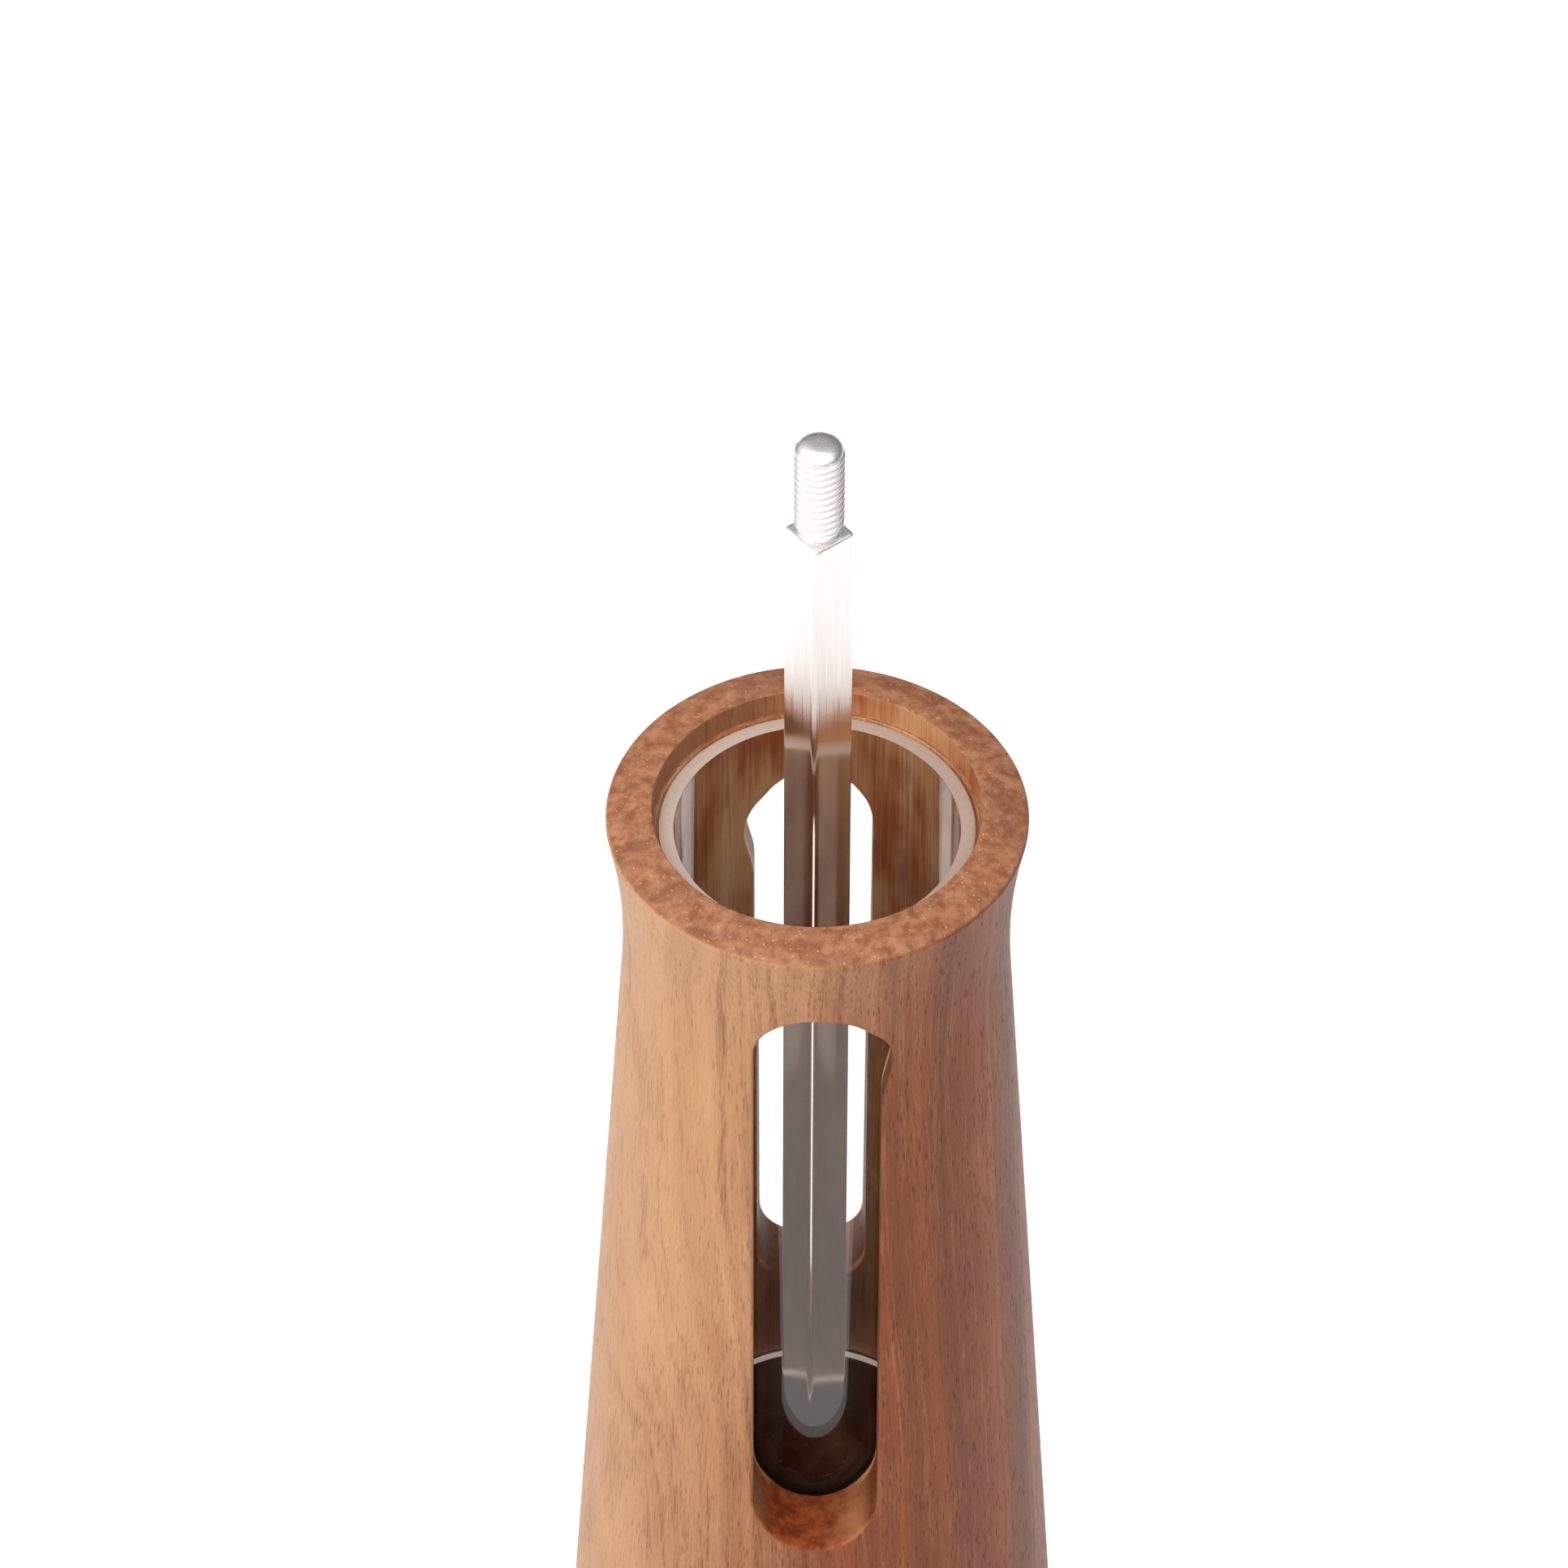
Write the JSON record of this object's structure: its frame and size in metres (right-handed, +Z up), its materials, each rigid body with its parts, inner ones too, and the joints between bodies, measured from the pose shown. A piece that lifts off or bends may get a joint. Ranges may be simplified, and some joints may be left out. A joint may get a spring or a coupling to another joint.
{
  "type": "pepper mill",
  "caption": "Turned wooden pepper mill, head off for filling: windowed body with a clear inner tube, square threaded drive shaft and a sprung ceramic grinder in the base.",
  "frame": {"origin": "centre of the base, on the surface the mill stands on", "axes": "+Z up along the body's and the shaft's axis; the front window faces -Y and the back window +Y"},
  "size_m": [0.062, 0.062, 0.2045],
  "materials": {
    "wood": "oiled, straight reddish-brown grain with dark pores",
    "acrylic": "clear, polished walls and sawn matt ends",
    "aluminium": "drawn bar, brushed lengthways",
    "black_plastic": "moulded, satin",
    "ceramic": "unglazed, fine-grained",
    "steel": "plain stainless"
  },
  "bodies": {
    "mill_body": {"wooden_body": "wood", "window_tube": "acrylic", "grinder_housing": "black_plastic", "grinding_ring": "ceramic", "spring_bridge": "black_plastic", "upper_spring_washer": "steel", "adjusting_spring": "steel", "retainer_bar": "steel", "bar_screw_1": "steel", "bar_screw_2": "steel", "flange_screw_1": "steel", "flange_screw_2": "steel", "flange_screw_3": "steel", "flange_screw_4": "steel"},
    "spring_carrier": {"lower_spring_washer": "steel"},
    "drive": {"drive_shaft": "aluminium", "grinding_rotor": "ceramic", "rotor_hub": "black_plastic", "shaft_end_washer": "steel", "shaft_end_screw": "steel"}
  },
  "joints": [
    {"name": "grind_adjust", "type": "slide", "parent": "mill_body", "child": "spring_carrier", "axis": [0, 0, 1], "range_m": [0, 0.002], "stiffness_N_per_m": 1500, "springref_m": -0.004, "deforming": ["adjusting_spring"]},
    {"name": "grind_spin", "type": "hinge", "parent": "spring_carrier", "child": "drive", "pos_m": [0, 0, 0.1], "axis": [0, 0, 1], "continuous": true}
  ]
}
